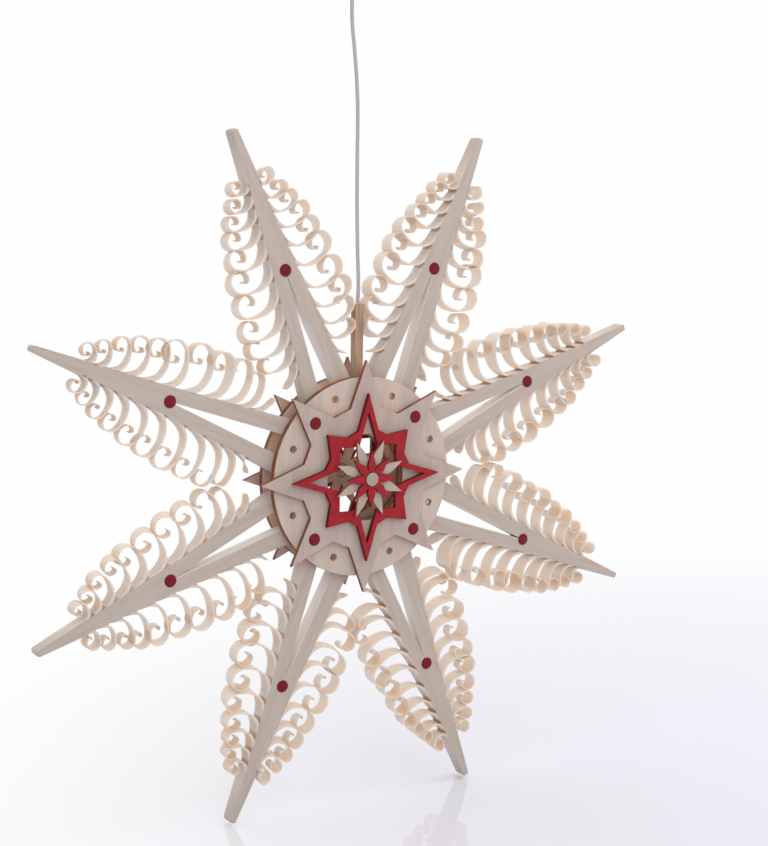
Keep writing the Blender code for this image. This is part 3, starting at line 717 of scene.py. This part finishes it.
def wedge_outline(sizes, roots):
    """Outline of a split ray along +X with a saw-tooth notch behind every curl root.

    Roots holds the places of the curls on the left edge and on the right edge. The split runs into
    the peg hole, so that hole and wedge are one loop. The second array holds each corner's strand
    value, which paints shade into the notches and light onto the split walls. The third holds its
    share of the ray's depth, which a quarter ellipse rounds off at the tip, and last comes the
    number of corners in that rounding.
    """
    hole = sizes.dowel_diameter / 2
    slope = math.tan(SECTOR / 2)
    trim = LEG_GAP / math.cos(SECTOR / 2)
    at_hub = edge_half_width(sizes, 0.0)
    trim_start = (at_hub + trim) / (slope + math.tan(sizes.leg_splay))
    split = sizes.peg_radius - hole - sizes.leg_end
    tail = np.array([(trim_start, edge_half_width(sizes, trim_start)),
                     (sizes.leg_end, sizes.leg_end * slope - trim),
                     (sizes.leg_end, split * math.tan(sizes.slit_splay) + SLIT_MOUTH)])
    bow = np.radians(np.linspace(0.0, 90.0, 6))
    tip = np.array((sizes.tip_radius, sizes.tip_half_width)) - TIP_ROUND * (1.0 - heading(bow))
    sides, marks = [], []
    for along in roots:
        place = along[:, None] + NOTCH[:, 0]
        teeth = np.stack((place, edge_half_width(sizes, place) - NOTCH[:, 1]), -1).reshape(-1, 2)
        sides.append(np.concatenate((tip, teeth, tail)))
        pared = np.tile(NOTCH[:, 2], len(along))
        marks.append(np.concatenate((np.zeros(len(tip)), pared, (0.0, 0.0, SPLIT_WALL_LIGHT))))
    gap = math.asin(SLIT_MOUTH / hole)
    around = heading(np.linspace(math.pi - gap, gap - math.pi, HOLE_POINTS)) * hole
    around = around + [sizes.peg_radius, 0.0]
    outline = np.concatenate((sides[0], around, sides[1][::-1] * [1.0, -1.0]))
    marks = np.concatenate((marks[0], np.full(HOLE_POINTS, SPLIT_WALL_LIGHT), marks[1][::-1]))
    deep = np.ones(len(outline))
    deep[:len(bow)] = 1.0 - 2 * TIP_ROUND_DEEP / sizes.thickness * (1.0 - np.sin(bow))
    deep[-len(bow):] = deep[len(bow) - 1::-1]
    return outline, marks, deep, len(bow) - 1


class STAR_OT_rays(bpy.types.Operator):
    """Shave the eight split rays with their curls"""

    bl_idname = "star.rays"
    bl_label = "Shaved rays"

    def execute(self, context):
        sizes = context.scene.star_sizes
        wood = shaved_wood(context.scene.star_colours)
        half = sizes.thickness / 2
        rolled = np.ones(sizes.curls)
        rolled[-len(LAST_ROLLED):] = LAST_ROLLED
        for i in range(RAYS):
            luck = np.random.default_rng(SEED + i)
            turn = SECTOR * (i + 0.5)
            build = Build()
            roots = []
            for side, by_post in ((1, i == 1), (-1, i == 2)):
                room = ROOM_BY_POST if by_post else ROOM_BESIDE
                along, height, pitch = curl_roots(sizes, room, luck)
                roots.append(along)
                height = height * np.where(rolled < FLAP_ROLLED, luck.uniform(*FLAP_HEIGHT), 1.0)
                for curl in zip(along, height, pitch, rolled):
                    add_curl(build, sizes, *curl, side, turn, luck)
            outline, marks, deep, nose = wedge_outline(sizes, roots)
            add_plate(build, [outline], -half, half, RAY_CHAMFER, turn,
                      marks=marks, nose=nose, deep=deep)
            build.piece(f"shaved_ray_{i + 1}", BODY_STAR, f"ray_{i + 1}", wood, 50.0)
        return {"FINISHED"}


# Hub

PLATE_CHAMFER = 0.00015
VENT_CIRCLE, VENT_RADIUS = 0.0504, 0.0022
BUTTON_BORE, BUTTON_RADIUS, BUTTON_REACH, BUTTON_DEPTH = 0.0042, 0.0041, 0.00245, 0.01795
PEG_REACH, DOWEL_REACH, DOWEL_CIRCLE = 0.0055, 0.0129, 0.048
RIM_ROUND, RIM_RISE, END_BOW = 0.0006, 0.0005, 0.0003

# Corners as (radius, degrees) of one star point, one petal, and a quarter of the red frame with a
# long point on an axis and a short one between
STAR_POINT = ((0.0423, -14.4), (0.0690, 0.0), (0.0423, 14.4))
PETAL = ((0.0156, 12.0), (0.0240, 22.5), (0.0156, 33.0), (0.0086, 45.0))
RED_PETAL = ((0.0090, -17.0), (0.0170, 0.0), (0.0090, 17.0), (0.0054, 22.5))
FRAME_OUTSIDE = ((0.0498, 0.0), (0.0290, 13.3), (0.0281, 28.1),
                 (0.0383, 45.0), (0.0281, 61.9), (0.0290, 76.7))
WINDOW_X, WINDOW_Z = 0.0190, 0.0062
BESIDE, BESIDE_DEG = math.hypot(WINDOW_Z, WINDOW_X), math.degrees(math.atan2(WINDOW_Z, WINDOW_X))
FRAME_WINDOW = ((0.0392, 0.0), (BESIDE, BESIDE_DEG), (WINDOW_X * math.sqrt(2.0), 45.0),
                (BESIDE, 90.0 - BESIDE_DEG))


def round_loop(corners, times):
    """Corners of (radius, degrees from the first axis), repeated in equal turns round the hub."""
    radius, degrees = np.array(corners).T
    return np.concatenate([polar(radius, degrees + 360.0 / times * i) for i in range(times)])


class STAR_OT_plates(bpy.types.Operator):
    """Cut the discs, star plates, red frames and flowers of both faces"""

    bl_idname = "star.plates"
    bl_label = "Hub plates"

    def execute(self, context):
        sizes = context.scene.star_sizes
        colours = context.scene.star_colours
        # Discs get a lighter copy of the plywood, painted light that offsets the shade of the star
        # plates over them
        thick_wood = plate_wood(colours, "disc_wood", colours.disc, 0.29)
        wood = plate_wood(colours, "plate_wood", colours.plate, 0.27)
        red = red_paint("red_paint", colours.red)
        disc = ring(sizes.disc_radius, 180)
        opening = ring(sizes.opening_radius, 96)
        bored = sizes.dowel_diameter / 2
        dowels = [ring(bored, 32, centre) for centre in polar(DOWEL_CIRCLE, DOWEL_DEG)]
        vents = [ring(VENT_RADIUS, 24, centre) for centre in polar(VENT_CIRCLE, RAY_DEG)]
        red_frame = [round_loop(corners, 4) for corners in (FRAME_OUTSIDE, FRAME_WINDOW)]
        bore = ring(BUTTON_BORE, 32)
        layers = (
            ("disc", [disc, opening, *dowels, *vents], 0.0050, 0.0090, thick_wood),
            ("star_plate", [round_loop(STAR_POINT, RAYS), opening, *dowels], 0.0093, 0.0121, wood),
            ("red_frame", red_frame, 0.0124, 0.0152, red),
            ("flower", [round_loop(PETAL, RAYS), bore], 0.0155, 0.0173, wood),
            ("red_flower", [round_loop(RED_PETAL, RAYS), bore], 0.0176, 0.0194, red),
        )
        for face, way in FACES:
            for layer, loops, near, far, finish in layers:
                build = Build()
                add_plate(build, loops, way * near, way * far, PLATE_CHAMFER, drilled=2)
                build.piece(f"{face}_{layer}_cut", BODY_STAR, f"{face}_{layer}", finish)
        return {"FINISHED"}


def dowel_profile(reach, radius):
    """A dowel with rounded rims, both ends bowed like a flat dish, reach from its middle."""
    bow = np.radians(np.linspace(0.0, 90.0, 5))
    inward = np.linspace(0.8, 0.1, 5)
    flat = radius - RIM_ROUND
    rim = np.append(flat + RIM_ROUND * np.cos(bow), flat * inward)
    rise = np.append(reach - RIM_RISE - END_BOW + RIM_RISE * np.sin(bow),
                     reach - END_BOW * inward ** 2)
    end = np.stack((rim, rise), 1)
    return np.concatenate((end[::-1] * [1.0, -1.0], end))


class STAR_OT_dowels(bpy.types.Operator):
    """Turn the red pegs and dowels and the buttons in the middle of the flowers"""

    bl_idname = "star.dowels"
    bl_label = "Pegs and buttons"

    def execute(self, context):
        sizes = context.scene.star_sizes
        colours = context.scene.star_colours
        red = red_paint("peg_red", colours.peg)
        hub_red = red_paint("hub_peg_red", scaled(colours.peg, 1.1))
        wood = plate_wood(colours, "button_wood", colours.wood_warm, 0.1)
        radius = sizes.dowel_diameter / 2
        peg, dowel = dowel_profile(PEG_REACH, radius), dowel_profile(DOWEL_REACH, radius)
        button = dowel_profile(BUTTON_REACH, BUTTON_RADIUS)
        turned = [(f"peg_{i}", f"ray_peg_{i}", centre, peg, red)
                  for i, centre in enumerate(polar(sizes.peg_radius, RAY_DEG), 1)]
        turned += [(f"dowel_{i}", f"hub_dowel_{i}", centre, dowel, hub_red)
                   for i, centre in enumerate(polar(DOWEL_CIRCLE, DOWEL_DEG), 1)]
        for face, way in FACES:
            rows = button + [0.0, way * BUTTON_DEPTH]
            turned.append((f"{face}_button_end", f"{face}_button", (0.0, 0.0), rows, wood))
        for name, node, centre, rows, finish in turned:
            build = Build()
            add_turned(build, centre, rows)
            build.piece(name, BODY_STAR, node, finish)
        return {"FINISHED"}


# Post, lamp, lead and hook

class STAR_OT_post(bpy.types.Operator):
    """Finish the hanger post, its block, the lead inside it and the lamp"""

    bl_idname = "star.post"
    bl_label = "Post and lamp"

    def execute(self, context):
        colours = context.scene.star_colours
        finishes = {
            "post": brown_wood(colours.post),
            "post_block": plate_wood(colours, "block_wood", colours.disc, 0.1),
            "inner_lead": moulded("inner_lead_skin", colours.lead, 0.4),
            "lamp_holder": moulded("holder_skin", colours.holder, 0.35),
            "lamp": lamp_lens(colours.lens),
        }
        for node, material in finishes.items():
            set_finish(node, material)
        return {"FINISHED"}


# Route of the lead up from the post to its loop, the loop over the hook, and its cut end
LEAD_STOPS = (
    (0.0, 0.0, -0.2157), (0.0004, 0.0, -0.2081), (-0.0004, 0.0, -0.185),
    (-0.0012, 0.0, -0.156), (-0.0014, 0.0, -0.1274), (-0.0016, 0.0, -0.102),
    (-0.0024, 0.0, -0.088), (-0.0041, 0.0, -0.071), (-0.006, 0.0, -0.0544),
    (-0.007, -0.00135, -0.0392), (-0.007, -0.00135, -0.0312), (-0.007, -0.003175, -0.0257),
)
LOOP_X, LOOP_Z, LOOP_RADIUS = -0.007, -0.0202, 0.005
LEAD_END = (-0.007, 0.00135, -0.0422)
LEAD_POINTS = 220
LEAD_HALF_WIDTH, LEAD_HALF_DEPTH, GROOVE_DEPTH, GROOVE_WIDTH = 0.0012, 0.0008, 0.22, 0.35
HOOK_RADIUS, HOOK_WIRE = 0.007, 0.0015
HOOK_SHANK, HOOK_MIDDLE, HOOK_END = (-0.0033, -0.007), -0.0112, -0.0082
PLATE_RADIUS, PLATE_THICKNESS, PLATE_ROUND, PLATE_SIDES = 0.013, 0.003, 0.001, 64


def lead_route():
    """Smooth line of the lead: up from the post, through the clip, round the hook and back down.

    Between two stops it is a cubic that meets both with the slope of their neighbours.
    """
    arc = polar(LOOP_RADIUS, np.arange(180.0, -1.0, -15.0)) + [0.0, LOOP_Z]
    arc = np.insert(arc, 0, LOOP_X, 1)
    down = np.array(LEAD_STOPS[:-4:-1]) * [1.0, -1.0, 1.0]
    stops = np.concatenate((LEAD_STOPS, arc, down, [LEAD_END]))
    run = run_along(stops)
    slope = np.gradient(stops, run, axis=0)
    at = np.linspace(0.0, run[-1], LEAD_POINTS)
    seat = np.clip(np.searchsorted(run, at, side="right") - 1, 0, len(run) - 2)
    gap = (run[seat + 1] - run[seat])[:, None]
    t = (at - run[seat])[:, None] / gap
    leave = (stops[seat] * (1 + 2 * t) + slope[seat] * gap * t) * (1 - t) ** 2
    reach = (stops[seat + 1] * (3 - 2 * t) - slope[seat + 1] * gap * (1 - t)) * t ** 2
    return leave + reach


class STAR_OT_lead(bpy.types.Operator):
    """Hang the flat twin lead with its clip"""

    bl_idname = "star.lead"
    bl_label = "Supply lead"

    def execute(self, context):
        colours = context.scene.star_colours
        path = lead_route()
        across, over = ring(1.0, 24).T
        waist = 1.0 - GROOVE_DEPTH * np.exp(-(across / GROOVE_WIDTH) ** 2)
        outline = np.stack((LEAD_HALF_WIDTH * across, LEAD_HALF_DEPTH * over * waist), 1)
        build = Build()
        add_tube(build, path, outline)
        skin = moulded("lead_skin", colours.lead, 0.4)
        lead = build.piece("supply_lead", BODY_LEAD, "cord", skin)
        set_finish("cord_clip", moulded("clip_skin", colours.clip, 0.35))
        return {"FINISHED"}


class STAR_OT_hook(bpy.types.Operator):
    """Finish the ceiling hook and its plate"""

    bl_idname = "star.hook"
    bl_label = "Ceiling hook"

    def execute(self, context):
        enamel = moulded("white_enamel", context.scene.star_colours.enamel, 0.3)
        arc = polar(HOOK_RADIUS, np.linspace(0.0, -180.0, 40)) + [-HOOK_RADIUS, HOOK_MIDDLE]
        arc = np.insert(arc, 1, 0.0, 1)
        shank = [(0.0, 0.0, z) for z in HOOK_SHANK]
        path = np.concatenate((shank, arc, [(-2 * HOOK_RADIUS, 0.0, HOOK_END)]))
        build = Build()
        add_tube(build, path, ring(HOOK_WIRE, 20), (0.0, 1.0, 0.0))
        build.piece("hook_wire", BODY_CEILING, "ceiling_hook", enamel)

        bow = heading(np.radians(np.linspace(0.0, 90.0, 6))) * [1.0, -1.0]
        middle = np.array((PLATE_RADIUS - PLATE_ROUND, PLATE_ROUND - PLATE_THICKNESS))
        rows = np.concatenate(([[PLATE_RADIUS, 0.0]], middle + PLATE_ROUND * bow))[:, None]
        flat = rows[..., :1] * ring(1.0, PLATE_SIDES)
        height = np.repeat(rows[..., 1:], PLATE_SIDES, 1)
        build = Build()
        build.add(np.concatenate((flat, height), -1), tube_faces(len(rows), PLATE_SIDES))
        build.piece("hook_plate", BODY_CEILING, "ceiling_plate", enamel)
        return {"FINISHED"}


# Stage

FLOOR_REACH, FLOOR_POINTS = 4.0, 9
TINTED_MIDDLE, TINTED_FULL, TINTED_END = (0.40, -0.18), 0.257, 0.80
WHITE, WHITE_GLOSS = (1.0, 0.995, 1.0), 0.22
ROOM_FRONT, ROOM_BEHIND, ROOM_WAY, ROOM_LIGHT = 0.45, 1.13, (0.3, 0.7, 0.6), (1.0, 0.985, 0.97)

# Soft boxes: name, place from the hub, width, watts and colour
SOFT_BOXES = (("front_box", (-0.15, -1.4, 1.0), 1.2, 6.0, (1.0, 0.98, 0.96)),
              ("right_box", (1.4, -0.2, 0.9), 1.0, 8.0, (1.0, 0.97, 0.94)))


def set_up(made, place, azimuth, elevation, roll=0.0):
    """Stands a camera or lamp at a place from the hub, turned to look at the star."""
    bpy.context.scene.collection.objects.link(made)
    stand = Matrix.Translation((place[0], place[1], place[2] + HUB_Z))
    for turn, axis in ((azimuth, "Z"), (math.pi / 2 - elevation, "X"), (roll, "Z")):
        stand @= Matrix.Rotation(turn, 4, axis)
    made.matrix_world = stand


def floor_finish(stage):
    """Pale glossy floor that fades to a glossy white all round its tinted middle."""
    finish = Finish("pale_floor")
    dapple = finish.noise(FLOOR_DAPPLE, 2.0)
    tone = finish.mix(stage.floor_dark, stage.floor_light, dapple)
    finish.shade(Base_Color=tone, Roughness=dapple * 0.02 + 0.012, Specular_IOR_Level=0.48)
    middle = (*TINTED_MIDDLE, HUB_Z - stage.floor_drop)
    away = finish.node("ShaderNodeVectorMath", {0: finish.place(), 1: middle}, "Value",
                       operation="DISTANCE")
    white = finish.node("ShaderNodeEmission", {"Color": WHITE, "Strength": 1.0})
    gloss = finish.node("ShaderNodeBsdfGlossy", {"Color": (1.0, 1.0, 1.0), "Roughness": 0.02})
    white = finish.node("ShaderNodeMixShader", {0: WHITE_GLOSS, 1: white, 2: gloss})
    finish.blend(away.between(TINTED_FULL, TINTED_END) * finish.seen(), white)
    return finish.material


def white_world():
    """White to the eye and in reflections, and for the rest a soft light, stronger from behind."""
    world = bpy.data.worlds.new("white_room")
    world.use_nodes = True
    nodes = Nodes(world.node_tree)
    way = nodes.node("ShaderNodeTexCoord", out="Generated")
    facing = nodes.node("ShaderNodeVectorMath", {0: way, 1: ROOM_WAY}, "Value",
                        operation="DOT_PRODUCT")
    level = facing.between(-0.65, 0.45) * (ROOM_BEHIND - ROOM_FRONT) + ROOM_FRONT
    light = nodes.node("ShaderNodeBackground", {"Color": ROOM_LIGHT, "Strength": level})
    white = nodes.node("ShaderNodeBackground", {"Color": WHITE, "Strength": 1.0})
    both = nodes.node("ShaderNodeMixShader", {0: nodes.seen(), 1: light, 2: white})
    nodes.connect(world.node_tree.nodes["World Output"], {"Surface": both})
    bpy.context.scene.world = world


def soft_light(name, place, size, power, colour):
    """A square soft box that faces the hub, itself unseen."""
    data = bpy.data.lights.new(name, "AREA")
    data.energy, data.size, data.color = power, size, colour
    lamp = bpy.data.objects.new(name, data)
    lamp.visible_camera = lamp.visible_glossy = False
    x, y, z = place
    set_up(lamp, place, math.atan2(x, -y), math.atan2(z, math.hypot(x, y)))


class STAR_OT_stage(bpy.types.Operator):
    """Set the camera, the soft light and the pale floor"""

    bl_idname = "star.stage"
    bl_label = "Stage"

    def execute(self, context):
        stage = context.scene.star_stage
        data = bpy.data.cameras.new("view")
        data.sensor_width, data.lens, data.clip_start = 36.0, stage.lens, 0.01
        camera = bpy.data.objects.new("view", data)
        set_up(camera, stage.camera_place, stage.azimuth, stage.elevation, stage.roll)
        context.scene.camera = camera
        context.scene.view_settings.view_transform = "Standard"
        white_world()
        for box in SOFT_BOXES:
            soft_light(*box)
        span = np.linspace(-FLOOR_REACH, FLOOR_REACH, FLOOR_POINTS)
        grid = np.meshgrid(span, span, HUB_Z - stage.floor_drop, indexing="ij")
        points = np.stack(grid, -1).reshape(-1, 3)
        faces = grid_faces(FLOOR_POINTS, FLOOR_POINTS, False)
        mesh = bpy.data.meshes.new("floor")
        mesh.from_pydata(points.tolist(), [], faces.tolist())
        mesh.materials.append(floor_finish(stage))
        floor = bpy.data.objects.new("floor", mesh)
        context.scene.collection.objects.link(floor)
        return {"FINISHED"}


class STAR_PT_panel(bpy.types.Panel):
    """Lists the star's pieces in the order they are made"""

    bl_idname = "STAR_PT_panel"
    bl_label = "Folk star"
    bl_space_type = "VIEW_3D"
    bl_region_type = "UI"
    bl_category = "Star"

    def draw(self, context):
        column = self.layout.column()
        for operator in OPERATORS:
            column.operator(operator.bl_idname)


OPERATORS = (STAR_OT_stage, STAR_OT_lead, STAR_OT_rays, STAR_OT_plates, STAR_OT_dowels,
             STAR_OT_post, STAR_OT_hook)
GROUPS = {"star_sizes": StarSizes, "star_colours": StarColours, "star_stage": StageSettings}
CLASSES = (*GROUPS.values(), *OPERATORS, STAR_PT_panel)


def register():
    for entry in CLASSES:
        bpy.utils.register_class(entry)
    for name, group in GROUPS.items():
        setattr(bpy.types.Scene, name, PointerProperty(type=group))


def unregister():
    for name in GROUPS:
        delattr(bpy.types.Scene, name)
    for entry in reversed(CLASSES):
        bpy.utils.unregister_class(entry)


def main():
    register()
    for operator in OPERATORS:
        getattr(bpy.ops.star, operator.bl_idname.split(".")[1])()


if __name__ == "__main__":
    main()
